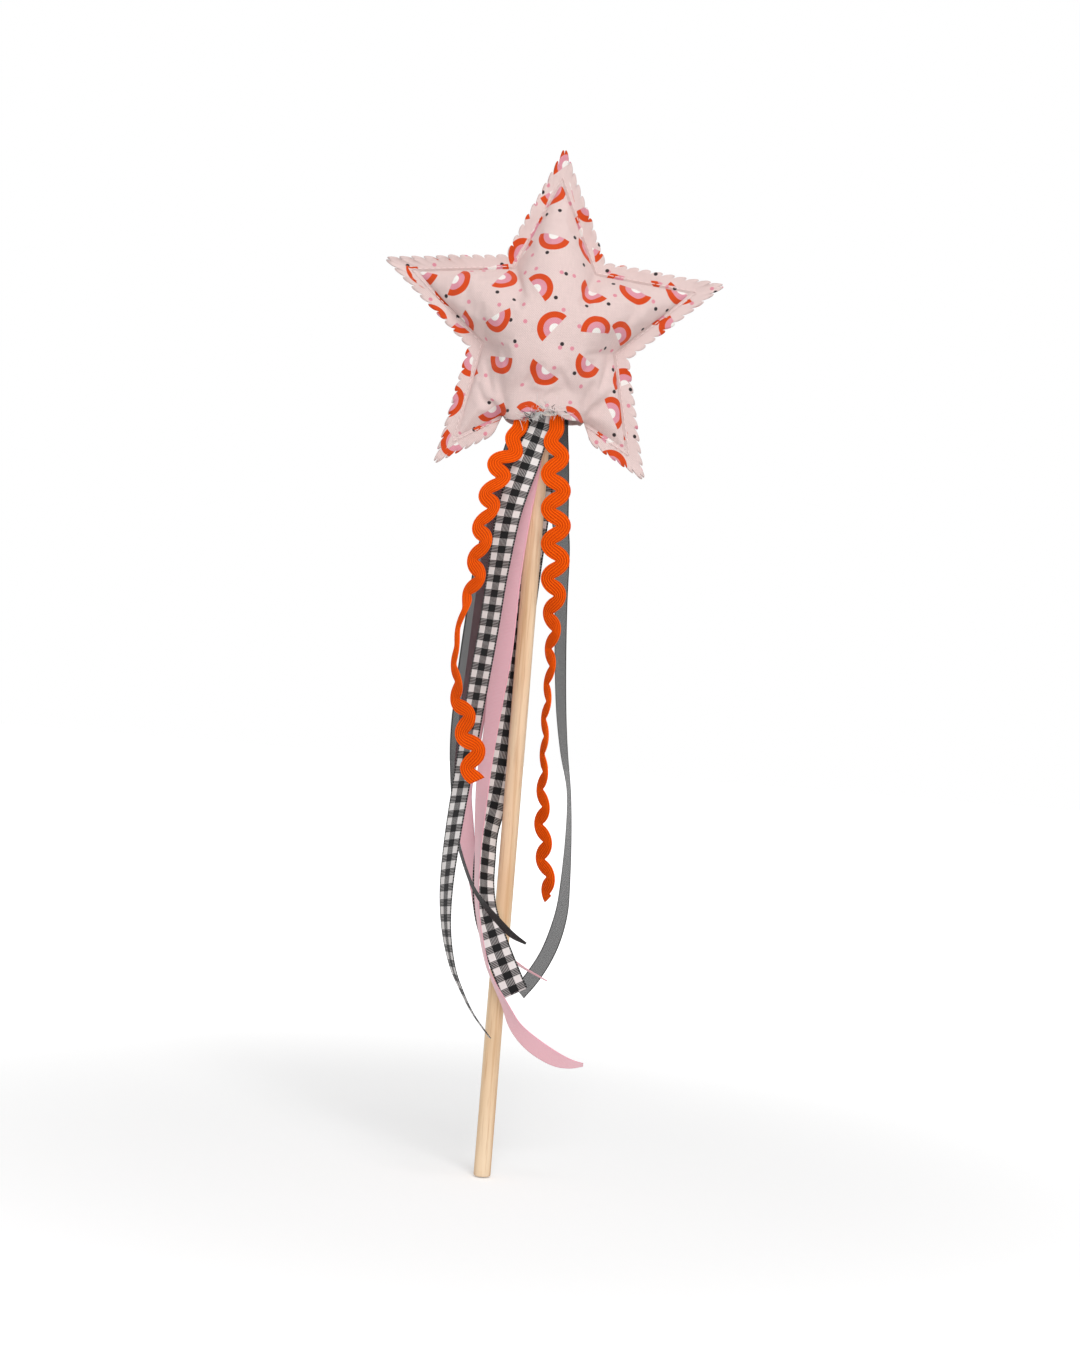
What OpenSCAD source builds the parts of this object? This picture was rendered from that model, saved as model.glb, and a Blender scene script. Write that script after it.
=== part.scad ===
// Toy magic wand: a stuffed cotton star on a wooden dowel, with ribbon and rickrack tails.
// Millimetres. +Z runs up the dowel from its butt end, and the front of the star faces -Y.

/* [Dowel] */
// Diameter of the wooden dowel
dowel_d = 6.35; // [5:0.05:8]
// Length of the dowel
dowel_length = 305; // [250:1:400]
// Length of the pointed end, hidden in the star
dowel_point = 22; // [18:1:30]
// Diameter of the blunt tip of the pointed end
dowel_tip_d = 2.4; // [1.5:0.1:4]

/* [Star] */
// Radius from the centre of the star to its points, at the raw edge
point_r = 68; // [60:1:80]
// Radius from the centre of the star to the notches between its points
notch_r = 32; // [29:0.5:36]
// Distance from the raw edge to the sewn line
seam_inset = 5.4; // [4:0.2:7]
// Height of the stuffed crown over the middle plane
crown = 17.5; // [12:0.5:22]
// Thickness of the cotton
cotton_t = 0.5; // [0.4:0.05:0.8]
// Width of one scallop of the pinked edge
scallop_w = 4.4; // [3:0.2:6]
// Depth of one scallop
scallop_depth = 1.1; // [0.6:0.1:1.6]
// Length of one stitch of the seam
stitch = 2.2; // [1.6:0.1:2.6]
// Room between the filling and what is round it
filling_gap = 0.5; // [0.4:0.1:1]

/* [Mouth] */
// Half width of the unsewn mouth under the star
mouth_half_w = 15.5; // [14:0.5:17]
// Half depth of the mouth, inside the cotton
mouth_half_d = 10.3; // [9.8:0.1:12]
// How far the lip of the mouth hangs below the notch
lip_drop = 3; // [2:0.5:5]
// Height of the glue plug in the mouth
glue_h = 11; // [8:0.5:13]
// How far the glue plug lies above the lip
glue_rise = 6; // [5:0.5:8]

/* [Ribbons] */
// Width of the gingham ribbon
gingham_w = 10; // [9:0.5:11]
// Width of the pink ribbon
pink_w = 10; // [9:0.5:11]
// Width of the sheer ribbon
sheer_w = 10; // [9:0.5:11]
// Overall width of the rickrack
rickrack_w = 11.2; // [10:0.2:13]
// Width of the rickrack's band
rickrack_band = 5.6; // [4:0.2:6]
// Length of one wave of the rickrack
rickrack_wave = 13; // [10:0.5:16]
// Thickness of a ribbon
ribbon_t = 0.5; // [0.3:0.05:0.6]
// Thickness of the rickrack
rickrack_t = 1.2; // [0.8:0.1:1.4]
// Gap between a glued root and its swaying tail
root_gap = 0.5; // [0.3:0.1:1]

/* [Hidden] */
$fn = 64;

// Levels up the dowel
lip_z = dowel_length - dowel_point;
hinge_z = lip_z - 0.5;
star_z = lip_z + notch_r + lip_drop + 1;
glue_z = lip_z + glue_rise;

// Star outline: all ten edges lie the same distance from the centre, so an inset is a smaller copy
edge_length = sqrt(point_r * point_r + notch_r * notch_r - 2 * point_r * notch_r * cos(36));
edge_r = point_r * notch_r * sin(36) / edge_length;
seam_scale = (edge_r - seam_inset) / edge_r;
column_step = 6;
column_angles = [for (a = [90 : column_step : 449]) a];
ring_shares = [0.25, 0.5, 0.7, 0.85, 0.95, 1];
collar = 1;

function unit(v) = v / norm(v);
function polar(r, a) = [r * cos(a), r * sin(a)];

// Corner i of the star's outline, points and notches in turn from the top point
function star_corner(i, share) = polar((i % 2 == 0 ? point_r : notch_r) * share, 90 + 36 * i);

// Radius of the star's outline in direction a
function star_radius(a, share) =
    let (turn = ((a - 90) % 72 + 72) % 72)
    let (off = turn > 36 ? 72 - turn : turn)
    share * point_r * notch_r * sin(36)
        / (cos(off) * notch_r * sin(36) + sin(off) * (point_r - notch_r * cos(36)));

function edge_distance(p, a, b) =
    let (share = max(0, min(1, ((p - a) * (b - a)) / ((b - a) * (b - a)))))
    norm(p - a - share * (b - a));

// Distance to the sewn line, softened along the ridges of the points
function seam_distance(p) =
    let (parts = [
        for (i = [0 : 9])
            pow(max(0.01, edge_distance(p, star_corner(i, seam_scale), star_corner(i + 1, seam_scale))), -8)
    ])
    pow(parts * [for (i = [0 : 9]) 1], -1 / 8);

seam_reach = seam_distance([0, 0]);

// Height of the stuffed star over its middle plane
function pillow(p) = crown * pow(seam_distance(p) / seam_reach, 0.75);

// Half depth of the mouth at x
function mouth_depth(x) =
    abs(x) < mouth_half_w ? mouth_half_d * pow(1 - pow(abs(x) / mouth_half_w, 3), 1 / 3) : 0;

// The mouth fades into the pillow above the notch
function mouth_fade(z) = let (s = max(0, min(1, (-6 - z) / 14))) s * s * (3 - 2 * s);
function panel_inside(p) = max(pillow(p) - cotton_t, mouth_depth(p[0]) * mouth_fade(p[1]), 0);

function in_mouth(a) = abs(a - 270) < 20;
function panel_edge(a) = in_mouth(a) ? (notch_r + lip_drop) / cos(a - 270) : star_radius(a, seam_scale);

// Inside and outside height of the panel on its sewn edge
function edge_inside(a) = in_mouth(a) ? mouth_depth(panel_edge(a) * cos(a)) : 0;
function panel_point(a, share) = polar(panel_edge(a) * share, a);
function panel_height(a, share) =
    share < 1 ? panel_inside(panel_point(a, share)) : edge_inside(a);

// Closed mesh of rings with the same number of points, capped at both ends. The first half of each ring is
// its front, and the diagonals of the front and of the back run the same way, so a twisted strip stays thin.
module ring_loft(rings) {
    n = len(rings[0]);
    last = len(rings) - 1;
    function at(r, i) = r * n + i % n;
    function is_front(i) = i < n / 2;
    faces = concat(
        [for (r = [0 : last - 1], i = [0 : n - 1])
            [at(r, i), at(r, i + 1), is_front(i) ? at(r + 1, i) : at(r + 1, i + 1)]],
        [for (r = [0 : last - 1], i = [0 : n - 1])
            [is_front(i) ? at(r, i + 1) : at(r, i), at(r + 1, i + 1), at(r + 1, i)]],
        [for (i = [1 : n - 2]) [0, i + 1, i]],
        [for (i = [1 : n - 2]) [last * n, last * n + i, last * n + i + 1]]
    );
    polyhedron(points = [for (ring = rings, p = ring) p], faces = faces, convexity = 8);
}

// Mesh of a front sheet and a back sheet over the same fans of rings, closed round the rim
module sheet_pair(front_tip, front_rings, back_tip, back_rings) {
    n = len(front_rings[0]);
    last = len(front_rings) - 1;
    back = 1 + n * (last + 1);
    function front_at(r, i) = 1 + r * n + i % n;
    function back_at(r, i) = back + 1 + r * n + i % n;
    faces = concat(
        [for (i = [0 : n - 1]) [0, front_at(0, i + 1), front_at(0, i)]],
        [for (r = [0 : last - 1], i = [0 : n - 1]) [front_at(r, i), front_at(r, i + 1), front_at(r + 1, i)]],
        [for (r = [0 : last - 1], i = [0 : n - 1])
            [front_at(r, i + 1), front_at(r + 1, i + 1), front_at(r + 1, i)]],
        [for (i = [0 : n - 1]) [back, back_at(0, i), back_at(0, i + 1)]],
        [for (r = [0 : last - 1], i = [0 : n - 1]) [back_at(r, i), back_at(r + 1, i), back_at(r, i + 1)]],
        [for (r = [0 : last - 1], i = [0 : n - 1])
            [back_at(r, i + 1), back_at(r + 1, i), back_at(r + 1, i + 1)]],
        [for (i = [0 : n - 1]) [front_at(last, i), front_at(last, i + 1), back_at(last, i)]],
        [for (i = [0 : n - 1]) [front_at(last, i + 1), back_at(last, i + 1), back_at(last, i)]]
    );
    points = concat(
        [front_tip], [for (ring = front_rings, p = ring) p],
        [back_tip], [for (ring = back_rings, p = ring) p]
    );
    polyhedron(points = points, faces = faces, convexity = 10);
}

// Point of the star's own plane, at height h towards the front
function star_point(p, h) = [p[0], -h, star_z + p[1]];

// Stuffed part of a panel, out to a narrow collar that lies in the seam allowance
module panel_crown() {
    inner = [
        for (s = ring_shares) [for (a = column_angles) star_point(panel_point(a, s), panel_height(a, s))]
    ];
    outer = [
        for (s = ring_shares)
            [for (a = column_angles) star_point(panel_point(a, s), panel_height(a, s) + cotton_t)]
    ];
    collar_in = [
        for (a = column_angles)
            star_point(polar(panel_edge(a) + collar, a), edge_inside(a) + 0.15 * cotton_t)
    ];
    collar_out = [
        for (a = column_angles)
            star_point(polar(panel_edge(a) + collar, a), edge_inside(a) + 0.85 * cotton_t)
    ];
    middle = panel_inside([0, 0]);
    sheet_pair(
        star_point([0, 0], middle + cotton_t), concat(outer, [collar_out]),
        star_point([0, 0], middle), concat(inner, [collar_in])
    );
}

// Outline with the scallops that pinking shears leave
scallops = round(edge_length / scallop_w);
scallop_points = 4;
raw_edge = [
    for (i = [0 : 9], s = [0 : scallops - 1], q = [0 : scallop_points - 1])
        let (a = star_corner(i, 1), b = star_corner(i + 1, 1))
        let (along = unit(b - a), out = [along[1], -along[0]])
        a + (b - a) * (s + q / scallop_points) / scallops
            + out * scallop_depth * (sin(180 * q / scallop_points) - 1)
];
mouth_cut = mouth_half_w - 0.3;

module seam_allowance() {
    hole_share = (edge_r - seam_inset + 0.4) / edge_r;
    translate([0, 0, star_z])
        rotate([90, 0, 0])
            linear_extrude(cotton_t)
                difference() {
                    polygon(raw_edge);
                    polygon([for (i = [0 : 9]) star_corner(i, hole_share)]);
                    translate([-mouth_cut, -notch_r - 12])
                        square([2 * mouth_cut, notch_r * 0.5 + 12]);
                }
}

module star_panel() {
    color([0.93, 0.83, 0.82]) {
        panel_crown();
        seam_allowance();
    }
}

module star_front_panel() {
    star_panel();
}

module star_back_panel() {
    mirror([0, 1, 0]) star_panel();
}

// Stitches that lie on the seam allowance just outside the sewn line
thread_w = 0.45;
thread_h = 0.3;
stitch_share = (edge_r - seam_inset + 0.9) / edge_r;
stitches = floor(edge_length * stitch_share / (stitch + 0.8));

module stitch_row() {
    color([0.95, 0.9, 0.88])
        for (i = [0 : 9], s = [0 : stitches - 1]) {
            a = star_corner(i, stitch_share);
            b = star_corner(i + 1, stitch_share);
            p = a + (b - a) * (s + 0.5) / stitches;
            if (abs(p[0]) > mouth_half_w + stitch || p[1] > -notch_r * 0.5)
                translate([p[0], -cotton_t - thread_h / 2, star_z + p[1]])
                    rotate([0, -atan2(b[1] - a[1], b[0] - a[0]), 0])
                        cube([stitch, thread_h, thread_w], center = true);
        }
}

module needle_thread() {
    stitch_row();
}

module bobbin_thread() {
    mirror([0, 1, 0]) stitch_row();
}

// Filling: a five-sided core, and a tapering tuft in each point
core_face_r = notch_r * seam_scale * cos(36);
core_step = 12;
core_share = 0.88;
core_rings = [0.35, 0.7, 0.9, 1];

function core_radius(a) =
    let (off = ((a - 90 + 36) % 72 + 72) % 72 - 36)
    min(core_face_r / cos(off), notch_r * seam_scale * core_share) - filling_gap;
function filling_height(p) = pillow(p) - cotton_t - filling_gap;

module core_form() {
    angles = [for (a = [90 : core_step : 449]) a];
    front = [
        for (s = core_rings)
            [for (a = angles) let (p = polar(core_radius(a) * s, a)) star_point(p, filling_height(p))]
    ];
    back = [
        for (s = core_rings)
            [for (a = angles) let (p = polar(core_radius(a) * s, a)) star_point(p, -filling_height(p))]
    ];
    top = filling_height([0, 0]);
    sheet_pair(star_point([0, 0], top), front, star_point([0, 0], -top), back);
}

// Room that the filling leaves for the glue plug and the roots in it
glue_half_w = mouth_half_w * 0.73;
module mouth_room() {
    half_w = glue_half_w + filling_gap;
    translate([-half_w, -mouth_half_d, glue_z - 10])
        cube([2 * half_w, 2 * mouth_half_d, glue_h + 10 + filling_gap]);
}

module filling_core() {
    color([0.97, 0.97, 0.95])
        difference() {
            core_form();
            mouth_room();
            translate([0, 0, lip_z])
                cylinder(d1 = dowel_d + 2 * filling_gap, d2 = dowel_tip_d + 2 * filling_gap, h = dowel_point);
            translate([0, 0, dowel_length - 0.01])
                cylinder(d = dowel_tip_d + 2 * filling_gap, h = filling_gap);
        }
}

// Tuft in the point that stands at angle a: rings across the point, from the core to near its tip
tuft_rings = 6;
tuft_points = 6;
tip_r = point_r * seam_scale;
tip_slope = notch_r * sin(36) / (point_r - notch_r * cos(36));

module filling_tuft(a) {
    start = core_face_r + filling_gap / 2;
    end = tip_r * 0.9;
    along = polar(1, a);
    across = polar(1, a + 90);
    function section(r) =
        let (half = (tip_r - r) * tip_slope * 0.86)
        let (row = [for (k = [0 : tuft_points]) r * along + across * half * -cos(180 * k / tuft_points)])
        concat(
            [for (p = row) star_point(p, filling_height(p))],
            [for (k = [tuft_points : -1 : 0]) star_point(row[k], -filling_height(row[k]))]
        );
    color([0.97, 0.97, 0.95])
        ring_loft([for (k = [0 : tuft_rings]) section(start + (end - start) * k / tuft_rings)]);
}

module filling_top() {
    filling_tuft(90);
}

module filling_upper_left() {
    filling_tuft(162);
}

module filling_lower_left() {
    difference() {
        filling_tuft(234);
        mouth_room();
    }
}

module filling_lower_right() {
    mirror([1, 0, 0])
        filling_lower_left();
}

module filling_upper_right() {
    filling_tuft(18);
}

module dowel() {
    color([0.9, 0.77, 0.6]) {
        cylinder(d = dowel_d, h = lip_z);
        translate([0, 0, lip_z])
            cylinder(d1 = dowel_d, d2 = dowel_tip_d, h = dowel_point);
    }
}

// Ribbon routes, from the hinge of the tail to its cut end. Each row holds x to the right, y towards the
// back, the drop below the hinge, the turn of the face in degrees and the share of the full width.
// The rows are laid round a dowel of this radius, and move outwards with a thicker one.
route_dowel_r = 3.175;

gingham_front_route = [
    [-0.5, -6, 0, 0, 0.8], [-4.5, -7.8, 14, 6, 1], [-9.5, -12.4, 34, 20, 1], [-11.8, -14.8, 56, 38, 1],
    [-13.6, -15.4, 78, 41, 1], [-15.8, -15.8, 100, 42, 1], [-18.4, -18.2, 130, 48, 1],
    [-20.4, -24, 154, 53, 1], [-21, -29, 173, 60, 1], [-19.8, -31, 188, 68, 1], [-16.6, -31.5, 201, 75, 1],
    [-12.4, -31.5, 210, 80, 1], [-7.6, -31.5, 218, 82, 1], [-1, -31.5, 226, 82, 1]
];
gingham_rear_route = [
    [1, 4.5, 0, 0, 0.8], [0.8, 4.5, 15, 0, 1], [0.5, 4.5, 30, 0, 1], [-0.8, 4.5, 50, 0, 1],
    [-2.2, 4.5, 75, 0, 1], [-3.4, 4.5, 105, 0, 1], [-5, 4.7, 128, -6, 1], [-6.6, 4.2, 143, -26, 1],
    [-8.2, 1.4, 154, -38, 1], [-8.4, -1.8, 164, -37, 1], [-8, -5, 174, -37, 1], [-6.4, -7.4, 183, -32, 1],
    [-3, -8, 192, -22, 1], [0.6, -8, 200, -14, 1], [4.6, -8, 208, -8, 1], [7, -8, 212.5, -6, 1]
];
pink_front_route = [
    [-2.8, -4.1, 0, 0, 0.6], [-3.6, -4.3, 14, 4, 0.85], [-6.4, -3.2, 38, 24, 1], [-7.9, -2.4, 60, 28, 1],
    [-8.5, -2.2, 85, 32, 1], [-9.4, -2.4, 104, 34, 0.78], [-10.2, -2.8, 118, 36, 0.64],
    [-11.3, -3.6, 132, 42, 0.68], [-11.3, -7, 147, 60, 0.8], [-10.8, -12, 164, 74, 0.8],
    [-9.6, -15.4, 181, 78, 0.8], [-5.2, -16.5, 199, 80, 0.8], [-1.8, -16.5, 207, 79, 0.8],
    [3.6, -16.5, 216, 68, 0.8], [8, -16.5, 223.5, 56, 0.9], [14.7, -16.5, 229.5, 46, 0.95],
    [23, -16.5, 234, 46, 0.9], [29, -16.5, 235.5, 52, 0.7], [34, -16.5, 235.5, 58, 0.3]
];
pink_rear_route = [
    [-7.2, 5.6, 0, 0, 0.6], [-8.8, 6.4, 12, 0, 0.85], [-11.6, 7.6, 28, 8, 1], [-14, 8, 48, 10, 1],
    [-15.4, 8.4, 70, 10, 1], [-16.4, 8.8, 90, 10, 1], [-17.6, 9, 110, 10, 1], [-18.6, 9, 127, 12, 0.88],
    [-18.9, 9, 140, 24, 0.75], [-17.2, 9, 152, 28, 0.75], [-14.2, 9, 165, 44, 0.65], [-11.4, 9, 176, 50, 0.6],
    [-8, 9, 188, 52, 0.6], [-1, 9, 198, 60, 0.6], [8, 9, 204, 74, 0.5], [18.6, 9, 209, 78, 0.3]
];
sheer_left_route = [
    [-7.6, -5, 0, 0, 0.6], [-9.6, -5.9, 12, 4, 0.85], [-13, -9.4, 34, 12, 1], [-16.4, -9.4, 56, 14, 1],
    [-18.2, -9.6, 78, 16, 1], [-19.4, -9.9, 96, 20, 1], [-20.4, -10.4, 116, 28, 1],
    [-20.9, -11.2, 130, 40, 0.8], [-20.6, -14.8, 145, 60, 0.5], [-18.6, -17.6, 157, 70, 0.4],
    [-12.8, -20.6, 171, 70, 0.4], [-7.8, -22.4, 178, 60, 0.4], [-1.9, -23.4, 184, 50, 0.4],
    [3.8, -23.6, 189, 50, 0.4], [9.4, -23.6, 192, 50, 0.15]
];
sheer_right_route = [
    [6.7, 5.7, 0, 0, 0.6], [7.2, 5.9, 12, 20, 0.8], [9.2, 7, 33, 50, 1], [11.3, 7.6, 47, 58, 1],
    [12.4, 8, 68, 62, 1], [13.8, 8, 88, 65, 1], [15.6, 8, 106, 68, 1], [18, 8, 122, 74, 1],
    [21, 8, 137, 82, 1], [22.2, 8.6, 153, 78, 1], [22.5, 10, 171, 70, 1], [22.2, 13, 182, 64, 1],
    [20.4, 16, 192, 60, 1], [17.4, 17.5, 201, 60, 1], [13.1, 17.5, 209, 60, 1], [8.5, 17.5, 215.5, 62, 1]
];
rickrack_left_route = [
    [-8, -7.8, 0, 0, 0.5], [-9.6, -9, 8, 4, 0.8], [-14, -14, 18, 20, 1], [-17, -20, 32, 38, 1],
    [-18.8, -23.8, 47, 44, 1], [-20.4, -25, 64, 52, 1], [-23.6, -25, 74, 72, 0.75], [-24.8, -25, 86, 74, 0.75],
    [-23.8, -25, 98, 66, 0.9], [-20.8, -25.4, 108, 44, 1], [-17.2, -26.4, 119, 30, 1],
    [-14.8, -26.8, 127, 26, 1], [-14.4, -26.8, 134, 24, 1]
];
rickrack_right_route = [
    [5.2, -7.4, 0, 0, 0.5], [5.5, -9, 10, 0, 0.9], [7, -11, 26, 6, 1], [8.6, -11.4, 47, 14, 1],
    [9.2, -11.8, 62, 34, 1], [9.9, -11.8, 78, 60, 1], [10, -12, 92, 72, 1], [9.8, -12, 108, 76, 1],
    [10.6, -12, 126, 76, 1], [11.2, -12, 138, 66, 1], [12.2, -12, 150, 58, 1], [13.8, -12, 162, 56, 1],
    [15.4, -12, 170, 60, 1], [17, -12, 176, 62, 1]
];

// A row moved away from the dowel's axis by what the dowel is thicker than the routes' own
function clear_of_dowel(row) =
    let (side = [row[0], row[1]])
    let (moved = side + unit(side) * (dowel_d / 2 - route_dowel_r))
    [moved[0], moved[1], row[2], row[3], row[4]];

// Smooth curve through the rows: t runs from 0 to 1
function along_route(route, t) =
    let (last = len(route) - 1, i = min(floor(t * last), last - 1), f = t * last - i)
    let (b = route[i], c = route[i + 1])
    let (a = i > 0 ? route[i - 1] : 2 * b - c, d = i < last - 1 ? route[i + 2] : 2 * c - b)
    0.5 * (2 * b + (c - a) * f + (2 * a - 5 * b + 4 * c - d) * f * f + (3 * b - a - 3 * c + d) * f * f * f);

function place(row) = [row[0], row[1], hinge_z - row[2]];
function running_length(points) = [
    for (i = 0, s = 0; i < len(points); s = s + (i < len(points) - 1 ? norm(points[i + 1] - points[i]) : 0), i = i + 1) s
];

// Four corners of a flat strip's section: c is its centre, w lies across its face and n through it
function strip_section(c, w, n) = [c - w - n, c + w - n, c + w + n, c - w + n];

// Sides of the strip at a row, from the direction that it runs in
function face_across(dir, turn) =
    let (flat = unit(cross(dir, [0, 1, 0])))
    flat * cos(turn) + cross(dir, flat) * sin(turn);

// Round head of a tail, above its hinge: half widths follow a circle about the hinge
head_shares = [0.95, 0.8, 0.5];
function head_sections(row, half, thickness) = [
    for (s = head_shares)
        strip_section(
            place(row) + [0, 0, half * s], [half * sqrt(1 - s * s), 0, 0], [0, thickness / 2, 0]
        )
];

// Tail of flat ribbon
tail_steps = 36;
module ribbon_tail(route, width) {
    rows = [for (r = route) clear_of_dowel(r)];
    points = [for (k = [0 : tail_steps]) along_route(rows, k / tail_steps)];
    centres = [for (p = points) place(p)];
    function direction(k) = unit(centres[min(k + 1, tail_steps)] - centres[max(k - 1, 0)]);
    body = [
        for (k = [1 : tail_steps])
            let (across = face_across(direction(k), points[k][3]))
            strip_section(
                centres[k], across * points[k][4] * width / 2, cross(direction(k), across) * -ribbon_t / 2
            )
    ];
    half = rows[0][4] * width / 2;
    first = strip_section(centres[0], [half, 0, 0], [0, ribbon_t / 2, 0]);
    ring_loft(concat(head_sections(rows[0], half, ribbon_t), [first], body));
}

// Tail of rickrack: a band that waves from side to side of the route
module rickrack_tail(route) {
    rows = [for (r = route) clear_of_dowel(r)];
    span = running_length([for (r = rows) place(r)]);
    steps = round(span[len(span) - 1] / rickrack_wave * 8);
    points = [for (k = [0 : steps]) along_route(rows, k / steps)];
    centres = [for (p = points) place(p)];
    lengths = running_length(centres);
    function direction(k) = unit(centres[min(k + 1, steps)] - centres[max(k - 1, 0)]);
    body = [
        for (k = [1 : steps])
            let (across = face_across(direction(k), points[k][3]))
            let (swing = max(0, points[k][4] * rickrack_w - rickrack_band) / 2)
            strip_section(
                centres[k] + across * swing * sin(360 * lengths[k] / rickrack_wave),
                across * rickrack_band / 2, cross(direction(k), across) * -rickrack_t / 2
            )
    ];
    half = rickrack_band / 2;
    first = strip_section(centres[0], [half, 0, 0], [0, rickrack_t / 2, 0]);
    ring_loft(concat(head_sections(rows[0], half, rickrack_t), [first], body));
}

// Glued root above a tail's head
root_top = glue_z + glue_h - 1;
module ribbon_root(route, root_w, thickness) {
    row = clear_of_dowel(route[0]);
    bottom = hinge_z + root_w / 2 + root_gap;
    translate([row[0] - root_w / 2, row[1] - thickness / 2, bottom])
        cube([root_w, thickness, root_top - bottom]);
}

module gingham_roots() {
    color([0.55, 0.54, 0.54]) {
        ribbon_root(gingham_front_route, gingham_front_route[0][4] * gingham_w, ribbon_t);
        ribbon_root(gingham_rear_route, gingham_rear_route[0][4] * gingham_w, ribbon_t);
    }
}

module pink_roots() {
    color([0.96, 0.67, 0.76]) {
        ribbon_root(pink_front_route, pink_front_route[0][4] * pink_w, ribbon_t);
        ribbon_root(pink_rear_route, pink_rear_route[0][4] * pink_w, ribbon_t);
    }
}

module sheer_roots() {
    color([0.25, 0.24, 0.25]) {
        ribbon_root(sheer_left_route, sheer_left_route[0][4] * sheer_w, ribbon_t);
        ribbon_root(sheer_right_route, sheer_right_route[0][4] * sheer_w, ribbon_t);
    }
}

module rickrack_roots() {
    color([1, 0.36, 0.05]) {
        ribbon_root(rickrack_left_route, rickrack_band, rickrack_t);
        ribbon_root(rickrack_right_route, rickrack_band, rickrack_t);
    }
}

// Glue plug: fills the mouth round the dowel's point and the ribbons' roots
module mouth_glue() {
    steps = 12;
    side = [
        for (k = [-steps : steps])
            let (x = glue_half_w * k / steps) [x, mouth_depth(x) - 0.9]
    ];
    color([0.93, 0.92, 0.88])
        difference() {
            translate([0, 0, glue_z])
                linear_extrude(glue_h)
                    polygon(concat(side, [for (k = [2 * steps : -1 : 0]) [side[k][0], -side[k][1]]]));
            translate([0, 0, lip_z])
                cylinder(d1 = dowel_d, d2 = dowel_tip_d, h = dowel_point);
            gingham_roots();
            pink_roots();
            sheer_roots();
            rickrack_roots();
        }
}

module gingham_tail_front() {
    color([0.55, 0.54, 0.54]) ribbon_tail(gingham_front_route, gingham_w);
}

module gingham_tail_rear() {
    color([0.55, 0.54, 0.54]) ribbon_tail(gingham_rear_route, gingham_w);
}

module pink_tail_front() {
    color([0.96, 0.67, 0.76]) ribbon_tail(pink_front_route, pink_w);
}

module pink_tail_rear() {
    color([0.96, 0.67, 0.76]) ribbon_tail(pink_rear_route, pink_w);
}

module sheer_tail_left() {
    color([0.25, 0.24, 0.25]) ribbon_tail(sheer_left_route, sheer_w);
}

module sheer_tail_right() {
    color([0.25, 0.24, 0.25]) ribbon_tail(sheer_right_route, sheer_w);
}

module rickrack_tail_left() {
    color([1, 0.36, 0.05]) rickrack_tail(rickrack_left_route);
}

module rickrack_tail_right() {
    color([1, 0.36, 0.05]) rickrack_tail(rickrack_right_route);
}

dowel();
star_front_panel();
star_back_panel();
needle_thread();
bobbin_thread();
filling_core();
filling_top();
filling_upper_left();
filling_lower_left();
filling_lower_right();
filling_upper_right();
mouth_glue();
gingham_roots();
pink_roots();
sheer_roots();
rickrack_roots();
gingham_tail_front();
gingham_tail_rear();
pink_tail_front();
pink_tail_rear();
sheer_tail_left();
sheer_tail_right();
rickrack_tail_left();
rickrack_tail_right();
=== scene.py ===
import math

import bpy
import numpy as np
from mathutils import Matrix, Vector, noise
from mathutils.bvhtree import BVHTree
from mathutils.geometry import delaunay_2d_cdt


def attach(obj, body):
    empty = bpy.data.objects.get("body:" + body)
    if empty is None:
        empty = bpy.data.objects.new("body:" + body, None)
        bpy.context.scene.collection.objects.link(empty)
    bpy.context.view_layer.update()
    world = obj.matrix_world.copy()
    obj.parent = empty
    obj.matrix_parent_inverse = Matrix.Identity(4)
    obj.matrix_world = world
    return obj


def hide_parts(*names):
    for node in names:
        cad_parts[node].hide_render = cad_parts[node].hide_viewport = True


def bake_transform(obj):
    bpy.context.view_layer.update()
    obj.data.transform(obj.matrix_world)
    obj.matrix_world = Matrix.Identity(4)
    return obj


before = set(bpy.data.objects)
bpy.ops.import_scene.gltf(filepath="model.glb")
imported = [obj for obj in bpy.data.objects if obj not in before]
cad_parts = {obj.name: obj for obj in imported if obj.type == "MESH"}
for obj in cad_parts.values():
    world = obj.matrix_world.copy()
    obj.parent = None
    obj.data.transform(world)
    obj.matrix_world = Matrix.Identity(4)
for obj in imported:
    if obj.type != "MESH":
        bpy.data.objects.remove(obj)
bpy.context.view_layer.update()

# Sizes in millimetres, the same as the solids'
MM = 0.001
DOWEL_R = 3.175
DOWEL_LENGTH = 305.0
DOWEL_TIP_R = 1.2
LIP_Z = 283.0
HINGE_Z = 282.5
ROOT_TOP = 299.0
STAR_Z = 319.0
POINT_R = 68.0
NOTCH_R = 32.0
SEAM_INSET = 5.4
CROWN = 17.5
SCALLOP_W = 4.4
SCALLOP_DEPTH = 1.1
STITCH = 2.2
MOUTH_X = 15.2
MOUTH_HALF_W = 15.5
MOUTH_HALF_D = 10.3
LIP = LIP_Z - STAR_Z
RIBBON_W = 10.0
RICKRACK_W = 11.2
RICKRACK_BAND = 5.6
RICKRACK_WAVE = 13.0
RICKRACK_RIDGES = 6
RICKRACK_THICK = 1.15
RIBBON_THICK = 0.24
SHEER_THICK = 0.12
SELVEDGE_W = 0.5
PRINT_SIZE = 17.5
STITCH_R = 0.15
CLOTH_THICK = 0.45
FLANGE_THICK = 0.4

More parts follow.
